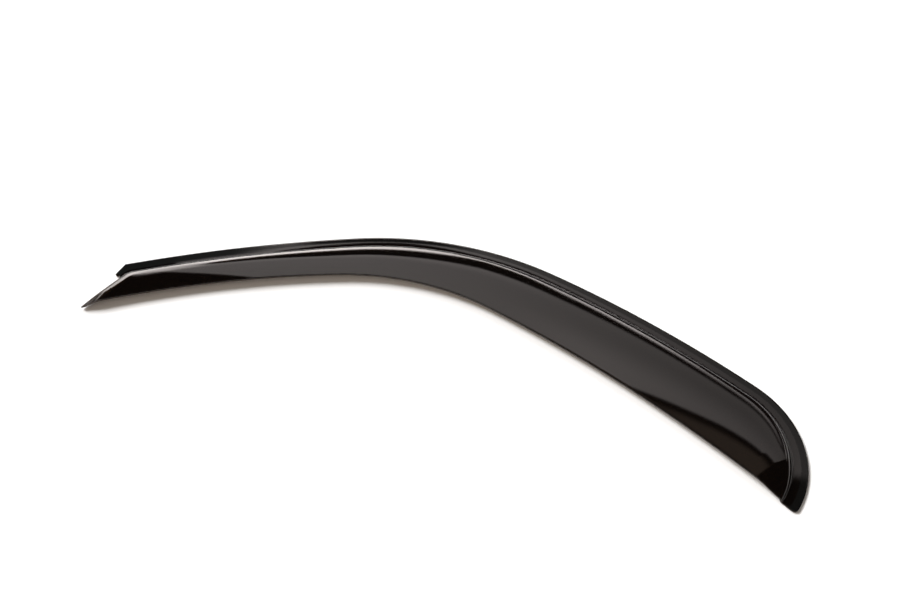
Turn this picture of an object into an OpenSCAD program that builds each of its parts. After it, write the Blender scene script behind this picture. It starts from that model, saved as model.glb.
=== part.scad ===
// Stick-on rain deflector for the front right-hand side window of a car.
// X runs from the rear end to the front hook, +Y is the roof side, +Z points away from the door.
// The origin is on the face of the adhesive tape, half-way round the bend.

/* [Flange outline] */
// Direction of the rear stretch, measured from X in degrees
rear_heading = 37.8; // [30:0.1:45]
// Straight length of the outer edge at the rear end
rear_straight = 30; // [20:1:60]
// Radius of the rear stretch over the door
rear_radius = 1725; // [1200:5:3000]
// Angle that the rear stretch turns
rear_turn = 9.2; // [5:0.1:12]
// Radius of the bend into the windscreen pillar
bend_radius = 435; // [350:5:600]
// Angle that the bend turns
bend_turn = 36.8; // [30:0.1:42]
// Radius of the stretch along the windscreen pillar
front_radius = 1480; // [1000:10:2500]
// Angle that the pillar stretch turns
front_turn = 11.4; // [8:0.1:14]
// Radius of the hook at the front end
hook_radius = 124; // [100:1:150]
// Angle that the hook turns
hook_turn = 84.5; // [75:0.5:90]
// Radius of the rounded end of the flange
lobe_radius = 5; // [2:0.5:8]

/* [Section] */
// Wall thickness of the moulding
wall = 2.5; // [2:0.1:3.2]
// Width of the flange, from its edge to the foot of the riser
flange_width = 18; // [15:0.5:24]
// Height of the blade above the flange
riser_height = 9.4; // [8:0.1:14]
// Slope of the riser from the flange
riser_slope = 60; // [50:1:70]
// Radius of the hollow between the flange and the riser
foot_radius = 4; // [2:0.5:5]
// Radius of the shoulder between the riser and the blade
shoulder_radius = 7; // [5:0.5:8]
// Fall of the blade from the shoulder to its free edge
blade_fall = 0.9; // [0.5:0.1:2]
// Rise of the blade's crown over its middle
blade_crown = 0.7; // [0.3:0.1:1.2]
// Blade width at which the fall and the crown are complete
full_curve_width = 60; // [40:1:80]

/* [Rear end] */
// Angle between the rear stretch and the slanted rear end
end_turn = 38.2; // [34:0.1:46]
// Length of the slanted end, from the flange corner to the tip
end_length = 84; // [70:1:110]
// Corner radius at the foot of the riser
corner_radius = 25; // [15:1:35]
// Distance from the flange corner to the foot line of the end wall
end_inset = 16.1; // [14:0.1:20]
// Length of the flange tab on the slanted end
tab_length = 20.5; // [18:0.5:24]
// Angle between the outer edge of the tab and the end wall
tab_flare = 12; // [5:0.5:15]
// Width of the tab at its cut end
tab_end_width = 4; // [3:0.1:5]
// Corner radius of the tab
tab_corner = 1.2; // [0.8:0.1:1.4]
// Width of the notch between the tab and the stub at the end wall
notch_width = 2.3; // [1.5:0.1:3]
// Depth of the notch
notch_depth = 3.5; // [2:0.1:4]
// Length from the flange corner to the point of the stub
stub_length = 21; // [20:0.5:24]
// Share of the full height that is left at the tip
tip_share = 0.22; // [0.2:0.01:0.4]
// Length of the end wall over which the height grows from the tip
tip_ramp = 34; // [20:1:45]
// Width of the blade at the tip
tip_width = 1; // [0.8:0.1:3]

/* [Free edge] */
// Direction of the free edge at the tip
free_heading = 41.2; // [39:0.1:43]
// Radius of the free edge along the rear stretch
free_rear_radius = 1240; // [1100:10:1400]
// Angle that it turns there
free_rear_turn = 15; // [13.5:0.1:16.5]
// Radius of the free edge in the bend
free_bend_radius = 339; // [320:1:360]
// Angle that it turns in the bend
free_bend_turn = 36; // [34:0.1:38]

/* [Front end] */
// Share of the full height that is left at the end of the hook
hook_share = 0.42; // [0.4:0.01:0.8]
// Share of the hook at which the height starts to run out
hook_ramp_start = 0.65; // [0.3:0.05:0.75]

/* [Adhesive tape] */
// Thickness of the foam tape
tape_thickness = 1.1; // [0.8:0.1:2]
// Width of the tape
tape_width = 8; // [6:0.5:12]
// Distance of the tape from the flange edge
tape_inset = 0.8; // [0.5:0.1:2]
// Distance that the tape stops short of each end
tape_end_gap = 4; // [2:0.5:10]

/* [Hidden] */
smoke = [0.16, 0.14, 0.13, 0.9];
tape_grey = [0.24, 0.25, 0.25];

// Steps along each stretch and across each part of the section
end_steps = 12;
corner_steps = 8;
straight_steps = 2;
rear_steps = 12;
bend_steps = 22;
front_steps = 16;
hook_steps = 26;
lobe_steps = 8;
foot_steps = 4;
shoulder_steps = 5;
blade_steps = 7;

// How far the flange and the moulded shell run into each other
flange_overlap = 0.6;
// Most of the shoulder radius that the wall may take where the section is low
wall_limit = 0.85;
// The stations of the end wall crowd towards the tip by this power
end_crowding = 1.25;
// Share of the hook at which the sections start to swing into the end cut
swing_start = 0.5;
// Steps of the small corners of the tab
tab_steps = 3;

// How much of the free edge faces each stretch of the riser, in hundredths
end_face = 5;
corner_face = 1.7;
rear_face = 30.2;
bend_face = 23.7;
front_face = 28.9;
hook_face = 10.5;

// Plane directions and paths. A pose is [x, y, heading], and every path turns to the right.
function dir(a) = [cos(a), sin(a)];
function inward(a) = [sin(a), -cos(a)];
function at(p) = [p[0], p[1]];
function pose(xy, a) = [xy[0], xy[1], a];
function side(p, d) = pose(at(p) + d * inward(p[2]), p[2]);
function ahead(p, l) = pose(at(p) + l * dir(p[2]), p[2]);
function turned(p, r, t) = pose(at(p) + r * inward(p[2]) - r * inward(p[2] - t), p[2] - t);
function line_poses(p, l, n) = [for (k = [1:n]) ahead(p, l * k / n)];
function arc_poses(p, r, t, n) = [for (k = [1:n]) turned(p, r, t * k / n)];
function last(v) = v[len(v) - 1];
function smooth(u) = let (c = min(1, max(0, u))) c * c * (3 - 2 * c);
function mix(a, b, u) = a * (1 - u) + b * u;

// Outer edge of the flange, from its rear corner to the end of the hook
edge_start = pose([0, 0], rear_heading);
edge_straight = concat([edge_start], line_poses(edge_start, rear_straight, straight_steps));
edge_rear = arc_poses(last(edge_straight), rear_radius, rear_turn, rear_steps);
edge_bend = arc_poses(last(edge_rear), bend_radius, bend_turn, bend_steps);
edge_front = arc_poses(last(edge_bend), front_radius, front_turn, front_steps);
edge_hook = arc_poses(last(edge_front), hook_radius, hook_turn, hook_steps);
edge_to_hook = concat(edge_straight, edge_rear, edge_bend, edge_front);
edge_path = concat(edge_to_hook, edge_hook);

// The foot of the riser turns the rear corner on an arc that is tangent to both sides
end_heading = rear_heading + end_turn;
end_start = pose([0, 0], end_heading);
corner_reach = corner_radius * tan(end_turn / 2);
foot_corner_run = (end_inset * cos(end_turn) - flange_width) / sin(end_turn);
foot_corner = ahead(side(end_start, end_inset), foot_corner_run);
tip = ahead(side(end_start, end_inset), -end_length);
corner_start = ahead(foot_corner, -corner_reach);
wall_length = end_length + foot_corner_run - corner_reach;

// Section sizes at full height. The run is measured from the foot of the riser to the blade.
foot_reach = foot_radius * tan(riser_slope / 2);
shoulder_reach = shoulder_radius * tan(riser_slope / 2);
riser_run = riser_height / tan(riser_slope) + shoulder_reach;

// The hook ends on a straight cut that carries on from the free edge
hook_end = side(last(edge_hook), flange_width);
free_start = pose(at(side(tip, riser_run * tip_share + tip_width)), free_heading);
free_rear_end = turned(free_start, free_rear_radius, free_rear_turn);
free_bend_end = turned(free_rear_end, free_bend_radius, free_bend_turn);
function closing_turn(goal) =
    let (d = goal - at(free_bend_end))
    2 * (free_bend_end[2] - atan2(d[1], d[0]));
end_run = riser_run * hook_share;
first_guess = at(hook_end) + end_run * inward(hook_end[2]);
cut_heading = free_bend_end[2] - closing_turn(first_guess);
meet = at(hook_end) - end_run * dir(cut_heading);
free_front_turn = closing_turn(meet);
free_front_radius = norm(meet - at(free_bend_end)) / (2 * sin(free_front_turn / 2));

// Point of the free edge at a distance from the tip
free_rear_length = free_rear_radius * free_rear_turn * PI / 180;
free_bend_length = free_bend_radius * free_bend_turn * PI / 180;
free_front_length = free_front_radius * free_front_turn * PI / 180;
free_length = free_rear_length + free_bend_length + free_front_length;
function degrees_of(l, r) = l / r * 180 / PI;
function free_point(l) =
    l < free_rear_length
        ? at(turned(free_start, free_rear_radius, degrees_of(l, free_rear_radius)))
        : l < free_rear_length + free_bend_length
            ? at(turned(free_rear_end, free_bend_radius, degrees_of(l - free_rear_length, free_bend_radius)))
            : at(turned(free_bend_end, free_front_radius,
                degrees_of(l - free_rear_length - free_bend_length, free_front_radius)));

// Stations of the moulding. Each is [pose at the riser foot, share of the full height,
// 1 where there is a flange, distance on the free edge].
face_total = end_face + corner_face + rear_face + bend_face + front_face + hook_face;
function face_at(before, face, u) = free_length * (before + face * u) / face_total;
end_stations = [for (k = [0:end_steps])
    let (u = pow(k / end_steps, end_crowding), l = wall_length * u)
    [ahead(tip, l), mix(tip_share, 1, sin(90 * min(1, l / tip_ramp))), floor(u), face_at(0, end_face, u)]];
corner_stations = [for (k = [1:corner_steps])
    let (u = k / corner_steps)
    [turned(corner_start, corner_radius, end_turn * u), 1, 1, face_at(end_face, corner_face, u)]];
rear_poses = [for (p = concat(edge_straight, edge_rear)) if (norm(at(p)) > rear_straight / 2) p];
rear_stations = [for (k = [0:len(rear_poses) - 1])
    let (u = (k + 1) / len(rear_poses))
    [side(rear_poses[k], flange_width), 1, 1, face_at(end_face + corner_face, rear_face, u)]];
bend_stations = [for (k = [0:bend_steps - 1])
    [side(edge_bend[k], flange_width), 1, 1,
        face_at(end_face + corner_face + rear_face, bend_face, (k + 1) / bend_steps)]];
front_stations = [for (k = [0:front_steps - 1])
    [side(edge_front[k], flange_width), 1, 1,
        face_at(end_face + corner_face + rear_face + bend_face, front_face, (k + 1) / front_steps)]];
hook_swing = cut_heading + 180 - (hook_end[2] - 90);
hook_stations = [for (k = [0:hook_steps - 1])
    let (u = (k + 1) / hook_steps, p = side(edge_hook[k], flange_width))
    [pose(at(p), p[2] + mod_turn(hook_swing) * smooth((u - swing_start) / (1 - swing_start))),
        mix(1, hook_share, smooth((u - hook_ramp_start) / (1 - hook_ramp_start))), 1,
        face_at(face_total - hook_face, hook_face, u)]];
function mod_turn(a) = a > 180 ? a - 360 : a < -180 ? a + 360 : a;
stations = concat(end_stations, corner_stations, rear_stations, bend_stations, front_stations, hook_stations);

// Section of the riser and shoulder, as [distance from the foot, height, normal across, normal up]
function foot_points(k) = [for (j = [0:foot_steps])
    let (a = riser_slope * j / foot_steps)
    [(-foot_reach + foot_radius * sin(a)) * k, foot_radius * (1 - cos(a)) * k, -sin(a), cos(a)]];
function bare_points(k) = [for (j = [0:foot_steps])
    let (d = mix(-wall / sin(riser_slope) / 2, foot_reach * k, j / foot_steps))
    [d * cos(riser_slope), d * sin(riser_slope), -sin(riser_slope), cos(riser_slope)]];
function shoulder_points(k) = [for (j = [0:shoulder_steps])
    let (a = riser_slope * (1 - j / shoulder_steps))
    [(riser_run - shoulder_radius * sin(a)) * k,
        (riser_height - shoulder_radius * (1 - cos(a))) * k, -sin(a), cos(a)]];

function place(p, across, up) = let (q = at(p) + across * inward(p[2])) [q[0], q[1], up];
function pair(p, point, t) =
    [place(p, point[0], point[1]), place(p, point[0] - t * point[2], point[1] - t * point[3])];

// The outer and inner point of the section at each step across, one pair after another
function section_pairs(s) =
    let (
        p = s[0], k = s[1], flanged = s[2],
        t = min(wall, wall_limit * shoulder_radius * k),
        riser = shoulder_points(k),
        start = last(riser),
        base = at(place(p, start[0], 0)),
        goal = free_point(s[3]),
        width = norm(goal - base),
        curve = min(1, width / full_curve_width) * k,
        foot = flanged == 1
            ? concat([[-foot_reach - flange_overlap, 0, 0, 1]], foot_points(k))
            : bare_points(k),
        skirt = -wall / tan(riser_slope),
        bottom = flanged == 1 ? [] : [[place(p, skirt, -t), place(p, skirt + t / sin(riser_slope), -t)]],
        blade = [for (j = [1:blade_steps])
            let (v = j / blade_steps, q = mix(base, goal, v),
                z = start[1] + curve * (4 * blade_crown * v * (1 - v) - blade_fall * v * v))
            [[q[0], q[1], z], [q[0], q[1], z - t]]]
    )
    concat(bottom, [for (q = foot) pair(p, q, t)], [for (q = riser) pair(p, q, t)], blade);

// One closed skin through the sections: outer points, then the inner points in reverse
function ring(s) =
    let (v = section_pairs(s))
    concat([for (q = v) q[0]], [for (k = [len(v) - 1:-1:0]) v[k][1]]);

module riser_and_blade() {
    rings = [for (s = stations) ring(s)];
    n = len(rings[0]);
    m = len(rings);
    half = n / 2;
    sides = [for (i = [0:m - 2], j = [0:n - 1])
        let (a = i * n + j, b = i * n + (j + 1) % n)
        each [[a, a + n, b], [b, a + n, b + n]]];
    first_cap = [for (j = [0:half - 2])
        let (a = j, b = j + 1, c = n - 2 - j, d = n - 1 - j)
        each [[a, b, d], [b, c, d]]];
    far = (m - 1) * n;
    last_cap = [for (f = first_cap) [f[0] + far, f[2] + far, f[1] + far]];
    polyhedron(points = [for (r = rings) each r], faces = concat(sides, first_cap, last_cap), convexity = 8);
}

// The flange is flat. Its outline follows the outer edge, the rounded lobe, the cut and the riser foot.
hook_centre = at(last(edge_hook)) + hook_radius * inward(last(edge_hook)[2]);
cut_out = dir(cut_heading);
cut_in = inward(cut_heading) * -1;
lobe_base = at(hook_end) + lobe_radius * cut_in - hook_centre;
lobe_run = -(lobe_base * cut_out) + sqrt(pow(lobe_base * cut_out, 2)
    - lobe_base * lobe_base + pow(hook_radius - lobe_radius, 2));
lobe_centre = hook_centre + lobe_base + lobe_run * cut_out;
lobe_from = lobe_centre - hook_centre;
lobe_first = atan2(lobe_from[1], lobe_from[0]);
lobe_last = cut_heading - 90;
lobe_points = [for (k = [0:lobe_steps])
    lobe_centre + lobe_radius * dir(lobe_first + mod_turn(lobe_last - lobe_first) * k / lobe_steps)];
flange_hook = [for (p = edge_hook)
    let (d = at(p) - hook_centre)
    if (mod_turn(atan2(d[1], d[0]) - lobe_first) > 0.2) at(p)];
flange_join = foot_reach + flange_overlap / 2;
tab_outer = tab_length * tan(tab_flare);
tab_inner = tab_outer + tab_end_width;
function tab_point(across, along) = at(side(ahead(end_start, -along), across));
function tab_round(across, from) = [for (k = [0:tab_steps])
    tab_point(across, tab_length - tab_corner) + tab_corner * dir(end_heading - from - 90 * k / tab_steps)];

module flange() {
    top = concat([for (p = edge_to_hook) at(p)], flange_hook, lobe_points);
    end_cut = [at(hook_end) + foot_reach * dir(cut_heading)];
    inner = [for (k = [len(edge_path) - 1:-1:0])
        if (norm(at(edge_path[k])) > rear_straight / 2) at(side(edge_path[k], flange_width - flange_join))];
    corner = [for (k = [corner_steps:-1:0])
        at(side(turned(corner_start, corner_radius, end_turn * k / corner_steps), -flange_join))];
    notch = [
        tab_point(end_inset - flange_join / 2, stub_length),
        tab_point(tab_inner + notch_width, tab_length - notch_depth),
        tab_point(tab_inner, tab_length - notch_depth)
    ];
    tab = concat(tab_round(tab_inner - tab_corner, 90), tab_round(tab_outer + tab_corner, 180));
    linear_extrude(wall) polygon(concat(top, end_cut, inner, corner, notch, tab));
}

module shield() {
    color(smoke) translate([-origin[0], -origin[1], tape_thickness]) {
        flange();
        translate([0, 0, wall]) riser_and_blade();
    }
}

// The tape follows the flange edge at its own distance and stops short of both ends
tape_middle = tape_inset + tape_width / 2;
origin = at(side(turned(last(edge_rear), bend_radius, bend_turn / 2), tape_middle));
tape_hook_turn = hook_turn - (tape_end_gap + lobe_radius + tape_width) / hook_radius * 180 / PI;
tape_path = concat([ahead(edge_start, tape_end_gap + tape_width)],
    [for (p = edge_to_hook) if (norm(at(p)) > tape_end_gap + tape_width + 1) p],
    arc_poses(last(edge_front), hook_radius, tape_hook_turn, hook_steps));

module adhesive_tape() {
    outer = [for (p = tape_path) at(side(p, tape_inset))];
    inner = [for (k = [len(tape_path) - 1:-1:0]) at(side(tape_path[k], tape_inset + tape_width))];
    color(tape_grey) translate([-origin[0], -origin[1], 0])
        linear_extrude(tape_thickness) polygon(concat(outer, inner));
}

shield();
adhesive_tape();
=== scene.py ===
import math

import bmesh
import bpy
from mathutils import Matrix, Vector


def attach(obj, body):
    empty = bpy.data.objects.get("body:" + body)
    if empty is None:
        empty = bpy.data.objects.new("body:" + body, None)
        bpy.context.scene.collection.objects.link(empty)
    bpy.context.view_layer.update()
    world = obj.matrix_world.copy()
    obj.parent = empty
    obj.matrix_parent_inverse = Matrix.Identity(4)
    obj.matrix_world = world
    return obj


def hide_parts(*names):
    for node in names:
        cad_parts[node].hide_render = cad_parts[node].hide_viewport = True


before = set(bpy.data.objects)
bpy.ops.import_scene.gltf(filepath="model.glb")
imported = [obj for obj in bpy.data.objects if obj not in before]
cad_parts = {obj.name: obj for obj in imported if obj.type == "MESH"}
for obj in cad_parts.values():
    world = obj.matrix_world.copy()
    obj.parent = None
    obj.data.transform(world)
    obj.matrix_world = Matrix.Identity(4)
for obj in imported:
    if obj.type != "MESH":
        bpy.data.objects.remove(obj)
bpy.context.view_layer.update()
bpy.ops.object.select_all(action="DESELECT")
print("frame loaded:", sorted(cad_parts))

# The moulded shield, in millimetres and degrees. The curves are those of the CAD part
shield = {
    "rearHeading": 37.8, "rearStraight": 30, "rearRadius": 1725, "rearTurn": 9.2,
    "bendRadius": 435, "bendTurn": 36.8, "frontRadius": 1480, "frontTurn": 11.4,
    "hookRadius": 124, "hookTurn": 84.5, "lobeRadius": 5,
    "wall": 2.5, "flangeWidth": 18, "riserHeight": 9.4, "riserSlope": 60,
    "footRadius": 4, "shoulderRadius": 7, "bladeFall": 0.9, "bladeCrown": 0.7, "fullCurveWidth": 60,
    "endTurn": 38.2, "endLength": 84, "cornerRadius": 25, "endInset": 16.1,
    "tabLength": 20.5, "tabFlare": 12, "tabEndWidth": 4, "tabCorner": 1.2,
    "notchWidth": 2.3, "stubLength": 21, "tipShare": 0.22, "tipRamp": 34, "tipWidth": 1,
    "freeHeading": 41.2, "freeRearRadius": 1240, "freeRearTurn": 15,
    "freeBendRadius": 339, "freeBendTurn": 36,
    "hookShare": 0.42, "hookRampStart": 0.65, "hookSwingStart": 0.5,
    "tapeThickness": 1.1, "tapeInset": 0.8, "tapeWidth": 8,
    # How the mesh is laid out: each stretch's share of the free edge, its rows, and the columns across it
    "faces": {"end": 5, "corner": 1.7, "rear": 30.2, "bend": 23.7, "front": 28.9, "hook": 10.5},
    "rows": {"end": 44, "corner": 20, "rear": 56, "bend": 72, "front": 56, "hook": 72},
    "columns": {"foot": 7, "shoulder": 10, "blade": 30},
    "endSpacing": 1.2, "tabShares": [0, 0.05, 0.15, 0.35, 0.6, 0.8, 1], "tabColumns": 5, "hollowBy": 0.625,
    "hookSteps": 60, "lobeSteps": 14, "mergeWithin": 0.01, "onBlade": (0, -50),
    # The flange's columns, from its edge to the riser's foot. The tape ends under the fifth and sixth. Past
    # forwardEnds, which are shares of the free edge, the flange sags a little and less of the dark tape mix
    # is laid over it, so its reflection shows. At the rear that dark mix also covers the sixth and seventh
    # columns, past the tape, as painted shade
    "flangeShares": [0, 0.12, 0.24, 0.36, 0.489, 0.53, 0.7, 0.85, 0.96],
    "flangeDip": 0.06, "flangeDish": 0.085, "dishFrom": 0.5, "forwardEnds": (0.19, 0.28),
    "tapeColumns": 5, "rearPaintedShadeColumns": 7, "frontPaintedShadeCut": 0.47,
    "wallLimit": 0.85, "edgeRound": 0.35, "edgeSegments": 2, "roundOver": 50, "smoothUnder": 40,
}


# Plane directions, in degrees. A pose is a point and a heading, and the path turns to the right.
def along(heading):
    return Vector((math.cos(math.radians(heading)), math.sin(math.radians(heading))))


def inward(heading):
    return Vector((math.sin(math.radians(heading)), -math.cos(math.radians(heading))))


def ahead(pose, length):
    return pose[0] + along(pose[1]) * length, pose[1]


def aside(pose, distance):
    return pose[0] + inward(pose[1]) * distance, pose[1]


def turned(pose, radius, turn):
    return pose[0] + (inward(pose[1]) - inward(pose[1] - turn)) * radius, pose[1] - turn


def halfTurn(angle):
    return (angle + 180) % 360 - 180


def smooth(u):
    u = min(1, max(0, u))
    return u * u * (3 - 2 * u)


def mix(a, b, u):
    return a * (1 - u) + b * u


# How far u is past start, as a share of what is left
def past(u, start):
    return (u - start) / (1 - start)


# Outer edge, end wall, hook and free edge
def findOutline(s):
    o = {}
    o["edgeStart"] = (Vector((0, 0)), s["rearHeading"])
    o["straightEnd"] = ahead(o["edgeStart"], s["rearStraight"])
    o["rearEnd"] = turned(o["straightEnd"], s["rearRadius"], s["rearTurn"])
    o["bendEnd"] = turned(o["rearEnd"], s["bendRadius"], s["bendTurn"])
    o["frontEnd"] = turned(o["bendEnd"], s["frontRadius"], s["frontTurn"])
    o["hookOuterEnd"] = turned(o["frontEnd"], s["hookRadius"], s["hookTurn"])
    o["hookEnd"] = aside(o["hookOuterEnd"], s["flangeWidth"])

    endHeading = s["rearHeading"] + s["endTurn"]
    o["endStart"] = (Vector((0, 0)), endHeading)
    turn = math.radians(s["endTurn"])
    cornerReach = s["cornerRadius"] * math.tan(turn / 2)
    footCornerRun = (s["endInset"] * math.cos(turn) - s["flangeWidth"]) / math.sin(turn)
    wallStart = aside(o["endStart"], s["endInset"])
    o["tip"] = ahead(wallStart, -s["endLength"])
    o["cornerStart"] = ahead(wallStart, footCornerRun - cornerReach)
    o["wallLength"] = s["endLength"] + footCornerRun - cornerReach
    o["cornerDrop"] = cornerReach - footCornerRun
    o["stubStart"] = o["wallLength"] - (s["stubLength"] - o["cornerDrop"])
    o["edgeStop"] = aside(turned(o["cornerStart"], s["cornerRadius"], s["endTurn"]), -s["flangeWidth"])[0]

    slope = math.radians(s["riserSlope"])
    o["footReach"] = s["footRadius"] * math.tan(slope / 2)
    o["riserRun"] = s["riserHeight"] / math.tan(slope) + s["shoulderRadius"] * math.tan(slope / 2)

    freeStart = (aside(o["tip"], o["riserRun"] * s["tipShare"] + s["tipWidth"])[0], s["freeHeading"])
    freeRearEnd = turned(freeStart, s["freeRearRadius"], s["freeRearTurn"])
    freeBendEnd = turned(freeRearEnd, s["freeBendRadius"], s["freeBendTurn"])

    def closingTurn(goal):
        d = goal - freeBendEnd[0]
        return 2 * (freeBendEnd[1] - math.degrees(math.atan2(d.y, d.x)))

    endRun = o["riserRun"] * s["hookShare"]
    hookEnd = o["hookEnd"]
    o["cutHeading"] = freeBendEnd[1] - closingTurn(hookEnd[0] + inward(hookEnd[1]) * endRun)
    meet = hookEnd[0] - along(o["cutHeading"]) * endRun
    frontTurn = closingTurn(meet)
    frontRadius = (meet - freeBendEnd[0]).length / (2 * math.sin(math.radians(frontTurn / 2)))
    o["freeArcs"] = [
        (freeStart, s["freeRearRadius"], math.radians(s["freeRearTurn"]) * s["freeRearRadius"]),
        (freeRearEnd, s["freeBendRadius"], math.radians(s["freeBendTurn"]) * s["freeBendRadius"]),
        (freeBendEnd, frontRadius, math.radians(frontTurn) * frontRadius),
    ]
    o["freeLength"] = sum(arc[2] for arc in o["freeArcs"])
    bendMiddle = turned(o["rearEnd"], s["bendRadius"], s["bendTurn"] / 2)
    o["origin"] = aside(bendMiddle, s["tapeInset"] + s["tapeWidth"] / 2)[0]
    return o


outline = findOutline(shield)
print("origin in the outline's frame:", [round(c, 3) for c in outline["origin"]])


# Point at a distance along the free edge
def freePoint(o, l):
    for start, radius, length in o["freeArcs"]:
        if l <= length:
            break
        l -= length
    return turned(start, radius, math.degrees(l / radius))[0]


# Points of the flange edge round the hook: the arc, then the rounded lobe down to the end cut
def hookEdge(s, o):
    centre = o["hookOuterEnd"][0] + inward(o["hookOuterEnd"][1]) * s["hookRadius"]
    cut = along(o["cutHeading"])
    base = o["hookEnd"][0] - inward(o["cutHeading"]) * s["lobeRadius"] - centre
    reach = s["hookRadius"] - s["lobeRadius"]
    run = -base.dot(cut) + math.sqrt(base.dot(cut) ** 2 - base.dot(base) + reach ** 2)
    lobeCentre = centre + base + cut * run
    out = lobeCentre - centre
    start = o["frontEnd"][1] + 90
    first = math.degrees(math.atan2(out.y, out.x))
    last = o["cutHeading"] - 90

    def arc(middle, radius, a, b, steps):
        return [middle + along(a + halfTurn(b - a) * k / steps) * radius for k in range(steps + 1)]

    lobe = arc(lobeCentre, s["lobeRadius"], first, last, s["lobeSteps"])
    return arc(centre, s["hookRadius"], start, first, s["hookSteps"]) + lobe[1:]


def pointAlong(points, share):
    lengths = [0]
    for a, b in zip(points, points[1:]):
        lengths.append(lengths[-1] + (b - a).length)
    goal = lengths[-1] * share
    for k in range(1, len(points)):
        if lengths[k] >= goal:
            u = (goal - lengths[k - 1]) / (lengths[k] - lengths[k - 1])
            return points[k - 1].lerp(points[k], u)
    return points[-1]


# Distance on the free edge beside the place u of a stretch
def freeAt(s, o, name, u):
    names = list(s["faces"])
    before = sum(s["faces"][key] for key in names[:names.index(name)])
    return o["freeLength"] * (before + s["faces"][name] * u) / sum(s["faces"].values())


# Share of full height at a distance from the tip
def rise(s, l):
    return mix(s["tipShare"], 1, math.sin(math.radians(90 * min(1, l / s["tipRamp"]))))


# One row of the sheet for each station: the pose at the riser's foot, the share of full height,
# the distance on the free edge, how far the hollow is formed, and the flange edge beside it.
# The first rows are the end wall, from its tip to the stub, where it has no flange
def endRows(s, o):
    rows = []
    for k in range(s["rows"]["end"]):
        l = o["stubStart"] * (k / s["rows"]["end"]) ** s["endSpacing"]
        rows.append({"pose": ahead(o["tip"], l), "share": rise(s, l), "formed": 0, "part": "end",
                     "free": freeAt(s, o, "end", l / o["wallLength"])})
    return rows


# The flange tab and the stub beside it, with the notch between them
def tabRows(s, o):
    flare = math.tan(math.radians(s["tabFlare"]))
    innerEdge = s["tabLength"] * flare + s["tabEndWidth"]

    def tabPoint(across, down):
        return aside(ahead(o["endStart"], -down), across)[0]

    stubPoint = tabPoint(s["endInset"] - o["footReach"], s["stubLength"])
    notchCorner = tabPoint(innerEdge + s["notchWidth"], o["cornerDrop"])
    rows = []
    for u in s["tabShares"]:
        l = mix(o["stubStart"], o["wallLength"], u)
        down = (s["tabLength"] - o["cornerDrop"]) * u
        level = s["tabLength"] - down
        inCorner = s["tabCorner"] - min(down, s["tabCorner"])
        pull = s["tabCorner"] - math.sqrt(max(0, s["tabCorner"] ** 2 - inCorner ** 2))
        rows.append({"pose": ahead(o["tip"], l), "share": rise(s, l), "formed": smooth(u / s["hollowBy"]),
                     "part": "stub", "free": freeAt(s, o, "end", l / o["wallLength"]),
                     "outer": tabPoint(level * flare + pull, level),
                     "tabInner": tabPoint(innerEdge - pull, level), "stub": stubPoint.lerp(notchCorner, u)})
    rows[-1]["part"] = "flange"
    return rows


# The corner where the end wall turns into the rear stretch
def cornerRows(s, o, edgeStart):
    steps = s["rows"]["corner"]
    cornerShare = edgeStart.length / (edgeStart.length + o["edgeStop"].length)
    atCorner = round(steps * cornerShare)
    corner = Vector((0, 0))
    rows = []
    for k in range(1, steps + 1):
        u = k / steps
        if k <= atCorner:
            outer = edgeStart.lerp(corner, k / atCorner)
        else:
            outer = corner.lerp(o["edgeStop"], (k - atCorner) / (steps - atCorner))
        rows.append({"pose": turned(o["cornerStart"], s["cornerRadius"], s["endTurn"] * u), "share": 1,
                     "formed": 1, "part": "flange", "free": freeAt(s, o, "corner", u), "outer": outer})
    return rows


# The rear stretch, the bend, the front stretch and the hook
def stretchRows(s, o):
    straightLeft = s["rearStraight"] - o["edgeStop"].length
    rearLength = straightLeft + math.radians(s["rearTurn"]) * s["rearRadius"]

    def rearPose(u):
        l = rearLength * u
        if l < straightLeft:
            return ahead(o["edgeStart"], o["edgeStop"].length + l)
        return turned(o["straightEnd"], s["rearRadius"], math.degrees((l - straightLeft) / s["rearRadius"]))

    stretches = {
        "rear": rearPose,
        "bend": lambda u: turned(o["rearEnd"], s["bendRadius"], s["bendTurn"] * u),
        "front": lambda u: turned(o["bendEnd"], s["frontRadius"], s["frontTurn"] * u),
        "hook": lambda u: turned(o["frontEnd"], s["hookRadius"], s["hookTurn"] * u),
    }
    swing = halfTurn(o["cutHeading"] + 180 - (o["hookEnd"][1] - 90))
    hookPoints = hookEdge(s, o)
    rows = []
    for name, poseOf in stretches.items():
        for k in range(1, s["rows"][name] + 1):
            u = k / s["rows"][name]
            edge = poseOf(u)
            foot, share, outer = aside(edge, s["flangeWidth"]), 1, edge[0]
            if name == "hook":
                foot = (foot[0], foot[1] + swing * smooth(past(u, s["hookSwingStart"])))
                share = mix(1, s["hookShare"], smooth(past(u, s["hookRampStart"])))
                outer = pointAlong(hookPoints, u)
            rows.append({"pose": foot, "share": share, "formed": 1, "part": "flange",
                         "free": freeAt(s, o, name, u), "outer": outer})
    return rows


def layRows(s, o):
    rows = endRows(s, o) + tabRows(s, o)
    rows += cornerRows(s, o, rows[-1]["outer"])
    rows += stretchRows(s, o)
    rearEnd, frontStart = s["forwardEnds"]
    for row in rows:
        row["forward"] = smooth((row["free"] / o["freeLength"] - rearEnd) / (frontStart - rearEnd))
    return rows


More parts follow.
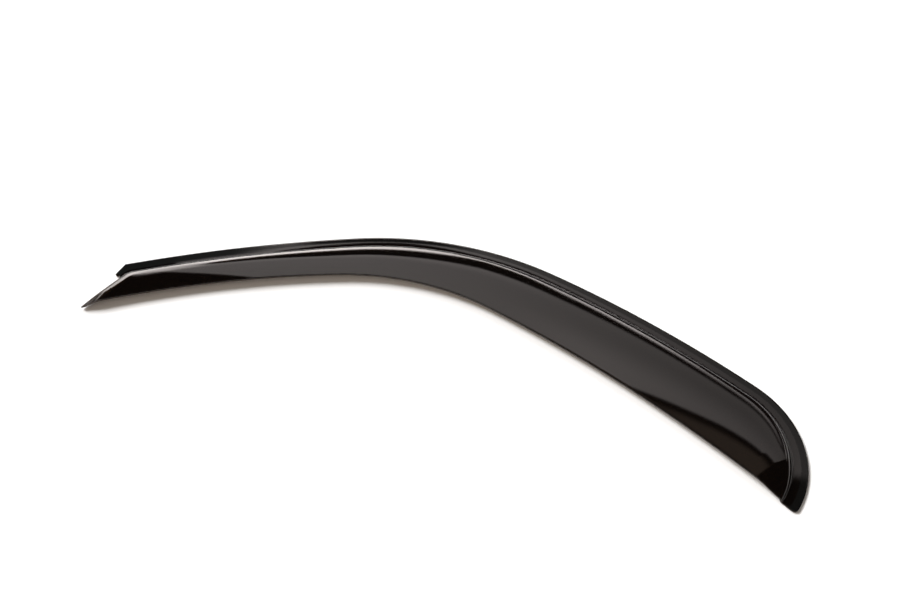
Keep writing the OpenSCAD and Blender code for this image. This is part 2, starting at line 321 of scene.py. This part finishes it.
# The flange's points across one row: none on the end wall, tab and stub at the notch, and else the full width
def placeFlange(s, row, footPoint):
    if row["part"] == "end":
        return [footPoint] * len(s["flangeShares"])
    foot = footPoint.xy
    if row["part"] == "stub":
        tabColumns, stubColumns = s["tabColumns"], len(s["flangeShares"]) - s["tabColumns"]
        tab = [row["outer"].lerp(row["tabInner"], j / (tabColumns - 1)) for j in range(tabColumns)]
        stub = [row["stub"].lerp(foot, j / stubColumns) for j in range(stubColumns)]
        return [Vector((q.x, q.y, 0)) for q in tab + stub]
    flange = []
    for share in s["flangeShares"]:
        dip = s["flangeDip"] * max(0, 1 - share / s["flangeShares"][s["tapeColumns"] - 1])
        dish = s["flangeDish"] * (1 - max(0, past(share, s["dishFrom"])) ** 2)
        flat = row["outer"].lerp(foot, share)
        flange.append(Vector((flat.x, flat.y, -(dip + dish) * row["forward"])))
    return flange


# Places across one row, from the flange edge to the free edge, with heights over the flange
def placeRow(s, o, row):
    pose, share, formed = row["pose"], row["share"], row["formed"]
    slope = math.radians(s["riserSlope"])
    thickness = min(s["wall"], s["wallLimit"] * s["shoulderRadius"] * share)
    sideways = inward(pose[1])
    steps = s["columns"]

    hollow = []
    for j in range(steps["foot"] + 1):
        a = slope * j / steps["foot"]
        out = -o["footReach"] + s["footRadius"] * math.sin(a)
        formedPoint = Vector((out * share, s["footRadius"] * (1 - math.cos(a)) * share))
        bottom = -thickness / 2 / math.sin(slope)
        d = mix(bottom, o["footReach"] * share, j / steps["foot"])
        plainPoint = Vector((d * math.cos(slope), d * math.sin(slope)))
        hollow.append(plainPoint.lerp(formedPoint, formed))
    shoulder = []
    for j in range(1, steps["shoulder"] + 1):
        a = slope * (1 - j / steps["shoulder"])
        shoulder.append(Vector(((o["riserRun"] - s["shoulderRadius"] * math.sin(a)) * share,
                                (s["riserHeight"] - s["shoulderRadius"] * (1 - math.cos(a))) * share)))

    def place(point):
        flat = pose[0] + sideways * point.x
        return Vector((flat.x, flat.y, point.y))

    start = place(shoulder[-1])
    goal = freePoint(o, row["free"])
    width = (goal - start.xy).length
    fall = s["bladeFall"] * min(1, width / s["fullCurveWidth"]) * share
    crown = s["bladeCrown"] * min(1, width / s["fullCurveWidth"]) * share
    blade = []
    for j in range(1, steps["blade"] + 1):
        v = j / steps["blade"]
        flat = start.xy.lerp(goal, v)
        blade.append(Vector((flat.x, flat.y, start.z - fall * v * v + 4 * crown * v * (1 - v))))

    flange = placeFlange(s, row, place(hollow[0]))
    points = flange + [place(p) for p in hollow + shoulder] + blade
    return points, thickness / s["wall"]


# The sheet starts as a grid. Each row is put in its place, and the open parts are deleted
def moldSheet(s, o):
    rows = layRows(s, o)
    placed = [placeRow(s, o, row) for row in rows]
    across = len(placed[0][0])
    bpy.ops.object.select_all(action="DESELECT")
    bpy.ops.mesh.primitive_grid_add(x_subdivisions=across - 1, y_subdivisions=len(rows) - 1, size=1)
    sheet = bpy.context.object
    sheet.name = "shield_moulding"
    sheet.vertex_groups.new(name="wall")
    bpy.ops.object.mode_set(mode="EDIT")
    mesh = bmesh.from_edit_mesh(sheet.data)
    mesh.verts.ensure_lookup_table()
    places = [(round(v.co.y, 6), round(v.co.x, 6)) for v in mesh.verts]
    order = sorted(range(len(places)), key=lambda i: places[i])
    base = s["tapeThickness"] + s["wall"]
    weights = mesh.verts.layers.deform.verify()
    # painted shade: how much dark tape tone takes the place of the flange's reflection, including past the
    # tape at the rear
    tapeAndPaintedShade = mesh.verts.layers.float.new("tapeAndPaintedShade")  # how far the tape shows through the flange
    cell = {}
    for n, i in enumerate(order):
        r, c = divmod(n, across)
        points, wallShare = placed[r]
        q = points[c]
        mesh.verts[i].co = Vector((q.x - o["origin"].x, q.y - o["origin"].y, q.z + base)) / 1000
        mesh.verts[i][weights][0] = wallShare
        # Over the tape the dark tone is partly tape seen through and partly painted shade, since it removes
        # the reflection; the rear columns past the tape get it as painted shade only
        if rows[r]["part"] == "flange" and c < s["tapeColumns"]:
            mesh.verts[i][tapeAndPaintedShade] = 1 - s["frontPaintedShadeCut"] * rows[r]["forward"]
        elif rows[r]["part"] == "flange" and c < s["rearPaintedShadeColumns"]:
            mesh.verts[i][tapeAndPaintedShade] = 1 - rows[r]["forward"]
        cell[i] = (r, c)
    for face in mesh.faces:
        part = rows[min(cell[v.index][0] for v in face.verts)]["part"]
        column = min(cell[v.index][1] for v in face.verts)
        onEnd = part == "end" and column < len(s["flangeShares"])
        inNotch = part == "stub" and column == s["tabColumns"] - 1
        face.select = onEnd or inNotch
    for v in mesh.verts:
        v.select = all(f.select for f in v.link_faces)
    bmesh.update_edit_mesh(sheet.data)
    bpy.ops.mesh.delete(type="FACE")
    bpy.ops.mesh.select_all(action="SELECT")
    bpy.ops.mesh.remove_doubles(threshold=s["mergeWithin"] / 1000)
    bpy.ops.mesh.normals_make_consistent(inside=False)
    bpy.ops.object.mode_set(mode="OBJECT")
    return sheet


# The outer side is turned up, the wall grows under it, and its edges are rounded
def addWall(sheet, s):
    onBlade = Vector(s["onBlade"]) / 1000
    nearest = min(sheet.data.polygons, key=lambda f: (f.center.xy - onBlade).length)
    if nearest.normal.z < 0:
        bpy.ops.object.mode_set(mode="EDIT")
        bpy.ops.mesh.select_all(action="SELECT")
        bpy.ops.mesh.flip_normals()
        bpy.ops.object.mode_set(mode="OBJECT")
    thicken = sheet.modifiers.new("Wall", "SOLIDIFY")
    thicken.thickness = s["wall"] / 1000
    thicken.offset = -1
    thicken.use_even_offset = True
    thicken.vertex_group = "wall"
    thicken.thickness_vertex_group = 0
    bpy.ops.object.modifier_apply(modifier="Wall")
    for v in sheet.data.vertices:
        v.co.z = max(v.co.z, s["tapeThickness"] / 1000)  # the underside stays on the tape
    soften = sheet.modifiers.new("Edges", "BEVEL")
    soften.width = s["edgeRound"] / 1000
    soften.segments = s["edgeSegments"]
    soften.limit_method = "ANGLE"
    soften.angle_limit = math.radians(s["roundOver"])
    bpy.ops.object.modifier_apply(modifier="Edges")
    bpy.ops.object.shade_smooth_by_angle(angle=math.radians(s["smoothUnder"]))


sheet = moldSheet(shield, outline)
addWall(sheet, shield)
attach(sheet, "root")
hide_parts("shield")
print("shield moulded:", len(sheet.data.polygons), "faces")


# Shader nodes: a graph that makes nodes and feeds sockets,
# and a socket that can be added, subtracted and multiplied
class Graph:
    def __init__(self, tree):
        self.tree = tree

    def feed(self, target, value):
        if isinstance(value, Sock):
            self.tree.links.new(value.socket, target)
        else:
            target.default_value = value

    def node(self, kind, settings, inputs=(), out=0):
        made = self.tree.nodes.new(kind)
        for key, value in settings.items():
            setattr(made, key, value)
        for name, value in (inputs.items() if isinstance(inputs, dict) else enumerate(inputs)):
            self.feed(made.inputs[name], value)
        return Sock(self, made.outputs[out])


class Sock:
    def __init__(self, graph, socket):
        self.graph, self.socket = graph, socket

    def output(self, name):
        return Sock(self.graph, self.socket.node.outputs[name])

    def math(self, operation, *others):
        return self.graph.node("ShaderNodeMath", {"operation": operation}, (self, *others))

    def __add__(self, other):
        return self.math("ADD", other)

    def __radd__(self, other):
        return self.math("ADD", other)

    def __sub__(self, other):
        return self.math("SUBTRACT", other)

    def __rsub__(self, other):
        return self.graph.node("ShaderNodeMath", {"operation": "SUBTRACT"}, (other, self))

    def __mul__(self, other):
        return self.math("MULTIPLY", other)

    def __rmul__(self, other):
        return self.math("MULTIPLY", other)

    # From zero at low to one at high
    def span(self, low, high, kind):
        ends = (self, low, high, 0.0, 1.0)
        return self.graph.node("ShaderNodeMapRange", {"interpolation_type": kind}, ends)

    def ramp(self, low, high):
        return self.span(low, high, "SMOOTHSTEP")

    # One within low and high, with an edge that is twice soft wide, and zero outside
    def within(self, low, high, soft):
        return self.ramp(low - soft, low + soft) * (1 - self.ramp(high - soft, high + soft))

    # A bent line: each stage adds its gain in even steps between its two ends
    def bent(self, start, stages):
        value = start
        for low, high, gain in stages:
            value = self.span(low, high, "LINEAR") * gain + value
        return value

    # Two colours, mixed by this value. A Mix node has them in sockets 6 and 7, and the result in output 2
    def blend(self, low, high):
        return self.graph.node("ShaderNodeMix", {"data_type": "RGBA"}, {0: self, 6: low, 7: high}, out=2)


def newMaterial(name):
    material = bpy.data.materials.new(name)
    material.use_nodes = True
    return material, Graph(material.node_tree), material.node_tree.nodes["Principled BSDF"]


# Smoked acrylic: a dark clear body that lets a little warm light through, under a polished surface.
# Where the tape is bonded under the flange, its dull grey shows in place of the surface's reflection, partly
# tape and partly painted shade; the same dark tone is painted shade on the rear flange past the tape
acrylic = {
    "body": (0.0014, 0.0009, 0.0007, 1), "tint": (0.80, 0.60, 0.44, 1), "passes": 0.16,
    "roughness": 0.03, "haze": 0.02, "hazeScale": 40.0, "hazeDetail": 3.0, "ior": 1.49,
    "specular": 0.6, "gloss": (1.0, 0.91, 0.88, 1), "tapeToneAndPaintedShade": (0.006, 0.0062, 0.006, 1), "tapeAndPaintedShadeShows": 0.96,
}


def makeAcrylic(a):
    material, graph, shader = newMaterial("smoked acrylic")
    output = material.node_tree.nodes["Material Output"]
    place = graph.node("ShaderNodeTexCoord", {}, out="Object")
    grain = {"Vector": place, "Scale": a["hazeScale"], "Detail": a["hazeDetail"]}
    haze = graph.node("ShaderNodeTexNoise", {}, grain)
    graph.feed(shader.inputs["Base Color"], a["body"])
    graph.feed(shader.inputs["IOR"], a["ior"])
    graph.feed(shader.inputs["Specular IOR Level"], a["specular"])
    graph.feed(shader.inputs["Specular Tint"], a["gloss"])
    graph.feed(shader.inputs["Roughness"], (haze - 0.5) * a["haze"] + a["roughness"])
    polished = Sock(graph, shader.outputs["BSDF"])
    tint = graph.node("ShaderNodeBsdfTransparent", {}, {"Color": a["tint"]})
    clear = graph.node("ShaderNodeMixShader", {}, (a["passes"], polished, tint))
    # A dark matt tone that replaces the acrylic and its reflection: tape seen through, and painted shade
    tapeToneAndPaintedShade = graph.node("ShaderNodeBsdfDiffuse", {}, {"Color": a["tapeToneAndPaintedShade"]})
    tapeAndPaintedShade = graph.node("ShaderNodeAttribute", {"attribute_name": "tapeAndPaintedShade"}, out="Fac")
    tapeBackedAndShaded = graph.node("ShaderNodeMixShader", {}, (tapeAndPaintedShade * a["tapeAndPaintedShadeShows"], clear, tapeToneAndPaintedShade))
    graph.feed(output.inputs["Surface"], tapeBackedAndShaded)
    return material


# Foam tape: a dark matt strip with fine closed cells
foam = {
    "light": (0.030, 0.032, 0.032, 1), "dark": (0.016, 0.017, 0.017, 1),
    "cellScale": 1400.0, "cellFade": (0.1, 0.7), "roughness": 0.8, "cellDepth": 0.0001, "cellStrength": 0.4,
}


def makeFoam(f):
    material, graph, shader = newMaterial("foam tape")
    place = graph.node("ShaderNodeTexCoord", {}, out="Object")
    cells = graph.node("ShaderNodeTexVoronoi", {}, {"Vector": place, "Scale": f["cellScale"]})
    fade = cells.ramp(*f["cellFade"])
    relief = {"Strength": f["cellStrength"], "Distance": f["cellDepth"], "Height": fade}
    bump = graph.node("ShaderNodeBump", {}, relief)
    graph.feed(shader.inputs["Base Color"], fade.blend(f["light"], f["dark"]))
    graph.feed(shader.inputs["Roughness"], f["roughness"])
    graph.feed(shader.inputs["Normal"], bump)
    return material


sheet.data.materials.clear()
sheet.data.materials.append(makeAcrylic(acrylic))
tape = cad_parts["adhesive_tape"]
tape.data.materials.clear()
tape.data.materials.append(makeFoam(foam))
print("materials made")


# Studio: a white floor, a soft key from the left, and a lit surround with a long strip light
# low behind the part, a wide panel over it with a dark gap between, and a pale horizon, dimmer behind.
# Angles are in degrees, and each bent line is a start with stages of (from turn, to turn, gain)
studio = {
    "floorSize": 60, "floorColor": (0.93, 0.93, 0.93, 1), "floorRoughness": 0.9,
    "keyTurn": 178, "keyRise": 42, "keyStrength": 3.8, "keyAngle": 30,
    "dark": 0.02, "neutral": (1, 1, 1, 1), "warm": (1.0, 0.84, 0.68, 1), "backdrop": (1, 1, 1, 1),
    "horizonTop": 18, "horizonSoft": 4, "horizonLight": 0.9,
    "horizonGap": (86, 145), "horizonGapSoft": 4, "horizonGapDepth": 0.8,
    "fillTurn": (205, 325), "fillTurnSoft": 15, "fillRise": (22, 65), "fillRiseSoft": 5, "fillLight": 0.64,
    "stripTop": (49.8, [(78, 97, -3.8), (97, 104, -1.6), (104, 111, -2.7), (111, 133, -1.6)]),
    "stripHigh": (0.5, [(85, 104, 1.7), (105, 112, 9.0)]),
    "stripPower": (0.2, [(88, 97, 0.27), (104, 124, 0.6), (134, 140, -0.12), (140, 146, -0.45),
                         (146, 158, -0.25)]),
    "stripSoft": 0.45, "stripEnds": (80, 159), "stripEndSoft": 6, "stripLight": 14,
    "rearTurn": (135, 140), "rearTurnSoft": 1, "rearSoft": 2.6,
    "sideTurn": (58, 73), "sideRise": (34, 48), "sideSoft": 2, "sideLight": 1.7,
    "panelLow": (50.25, [(78, 97, -2.9), (97, 104, -1.1), (104, 112, -1.5), (119, 126, -0.7),
                         (126, 140, -4.15)]),
    "panelPower": (0.34, [(86, 124, 0.5)]), "panelRim": (0.06, [(104, 116, 0.26)]), "rimHeight": 2.5,
    "panelHighPart": (50, 56), "panelHighTurn": (104, 118), "panelHighPower": 0.22,
    "panelLeft": 134, "panelLeftRise": 54, "panelLean": 0.36, "panelRight": (60, 80),
    "panelTop": 55.5, "panelTopClimb": 0.19, "panelTopFrom": 88, "panelSoft": 0.35, "panelLight": 1.9,
    "beyondLow": (0.6, 2.0), "beyondTop": (62, 70), "beyondTurn": (84, 155), "beyondTurnSoft": 4,
    "beyondLight": 0.34,
}


# The long strip, whose upper edge is sharp except at the rear
def stripLight(t, turn, rise):
    above = rise - turn.bent(*t["stripTop"])
    under = (above + turn.bent(*t["stripHigh"])).ramp(-t["stripSoft"], t["stripSoft"])
    sharp = under * (1 - above.ramp(-t["stripSoft"], t["stripSoft"]))
    soft = under * (1 - above.ramp(-t["rearSoft"], t["rearSoft"]))
    rear = turn.within(*t["rearTurn"], t["rearTurnSoft"])
    strip = (sharp * (1 - rear) + soft * rear) * turn.bent(*t["stripPower"])
    return strip * turn.within(*t["stripEnds"], t["stripEndSoft"]) * t["stripLight"]


# The wide panel with its rim and its brighter high part, and the dimmer wall beyond its top
def panelLight(t, turn, rise):
    overLow = rise - turn.bent(*t["panelLow"])
    overTop = rise - ((turn - t["panelTopFrom"]) * t["panelTopClimb"] + t["panelTop"])
    pastLeft = turn - t["panelLeft"] - (t["panelLeftRise"] - rise) * t["panelLean"]
    rim = (1 - overLow.ramp(0.0, t["rimHeight"])) * turn.bent(*t["panelRim"])
    high = rise.ramp(*t["panelHighPart"]) * (1 - turn.ramp(*t["panelHighTurn"])) * t["panelHighPower"]
    power = turn.bent(*t["panelPower"]) + rim + high
    panel = overLow.ramp(-t["panelSoft"], t["panelSoft"])
    panel = panel * (1 - overTop.ramp(-t["panelSoft"], t["panelSoft"]))
    panel = panel * (1 - pastLeft.ramp(-t["panelSoft"], t["panelSoft"])) * turn.ramp(*t["panelRight"])
    beyond = overTop.ramp(*t["beyondLow"]) * (1 - rise.ramp(*t["beyondTop"]))
    beyond = beyond * turn.within(*t["beyondTurn"], t["beyondTurnSoft"]) * t["beyondLight"]
    return panel * power * t["panelLight"], beyond


def lightSurround(t):
    world = bpy.data.worlds.new("studio")
    bpy.context.scene.world = world
    world.use_nodes = True
    graph = Graph(world.node_tree)
    direction = graph.node("ShaderNodeTexCoord", {}, out="Generated")
    x = graph.node("ShaderNodeSeparateXYZ", {}, (direction,), out="X")
    turn = x.output("Y").math("ARCTAN2", x).math("DEGREES")
    rise = x.output("Z").math("ARCSINE").math("DEGREES")
    fullTurn = (turn + 360).math("MODULO", 360.0)

    strip = stripLight(t, turn, rise)
    panel, beyond = panelLight(t, turn, rise)
    side = turn.within(*t["sideTurn"], t["sideSoft"]) * rise.within(*t["sideRise"], t["sideSoft"])
    horizon = 1 - rise.ramp(t["horizonTop"] - t["horizonSoft"], t["horizonTop"] + t["horizonSoft"])
    gap = turn.within(*t["horizonGap"], t["horizonGapSoft"]) * t["horizonGapDepth"]
    horizon = horizon * (1 - gap) * t["horizonLight"]
    fill = fullTurn.within(*t["fillTurn"], t["fillTurnSoft"]) * rise.within(*t["fillRise"], t["fillRiseSoft"])
    warmPower = fill * t["fillLight"] + beyond
    plainPower = strip + side * t["sideLight"] + panel + horizon + t["dark"]

    neutral = Sock(graph, world.node_tree.nodes["Background"].outputs["Background"])
    graph.feed(neutral.socket.node.inputs["Color"], t["neutral"])
    graph.feed(neutral.socket.node.inputs["Strength"], plainPower)
    warm = graph.node("ShaderNodeBackground", {}, {"Color": t["warm"], "Strength": warmPower})
    lit = graph.node("ShaderNodeAddShader", {}, (neutral, warm))
    backdrop = graph.node("ShaderNodeBackground", {}, {"Color": t["backdrop"]})
    seen = graph.node("ShaderNodeLightPath", {}, out="Is Camera Ray")
    shown = graph.node("ShaderNodeMixShader", {}, (seen, lit, backdrop))
    graph.feed(world.node_tree.nodes["World Output"].inputs["Surface"], shown)


def buildStudio(t):
    bpy.ops.object.select_all(action="DESELECT")
    bpy.ops.mesh.primitive_plane_add(size=t["floorSize"], location=(0, 0, 0))
    floor = bpy.context.object
    floor.name = "floor"
    material, graph, shader = newMaterial("white floor")
    graph.feed(shader.inputs["Base Color"], t["floorColor"])
    graph.feed(shader.inputs["Roughness"], t["floorRoughness"])
    graph.feed(shader.inputs["Specular IOR Level"], 0.0)
    floor.data.materials.append(material)

    turn, rise = math.radians(t["keyTurn"]), math.radians(t["keyRise"])
    source = Vector((math.cos(turn) * math.cos(rise), math.sin(turn) * math.cos(rise), math.sin(rise)))
    bpy.ops.object.light_add(type="SUN")
    key = bpy.context.object
    key.name = "key"
    key.rotation_euler = source.to_track_quat("Z", "Y").to_euler()
    key.data.energy = t["keyStrength"]
    key.data.angle = math.radians(t["keyAngle"])
    key.visible_glossy = False
    lightSurround(t)


buildStudio(studio)
print("studio built")

# The photograph's camera, in metres, degrees and, for its lens and sensor, millimetres
view = {"place": (0.3834, -0.8282, 0.9312), "tilt": 41, "turn": 24.51, "lens": 37.565, "sensor": 36,
        "clip": (0.01, 100)}
bpy.ops.object.camera_add(location=view["place"],
                          rotation=(math.radians(view["tilt"]), 0, math.radians(view["turn"])))
camera = bpy.context.object
camera.data.lens = view["lens"]
camera.data.sensor_width = view["sensor"]
camera.data.clip_start, camera.data.clip_end = view["clip"]
bpy.context.scene.camera = camera
bpy.context.scene.view_settings.view_transform = "Standard"
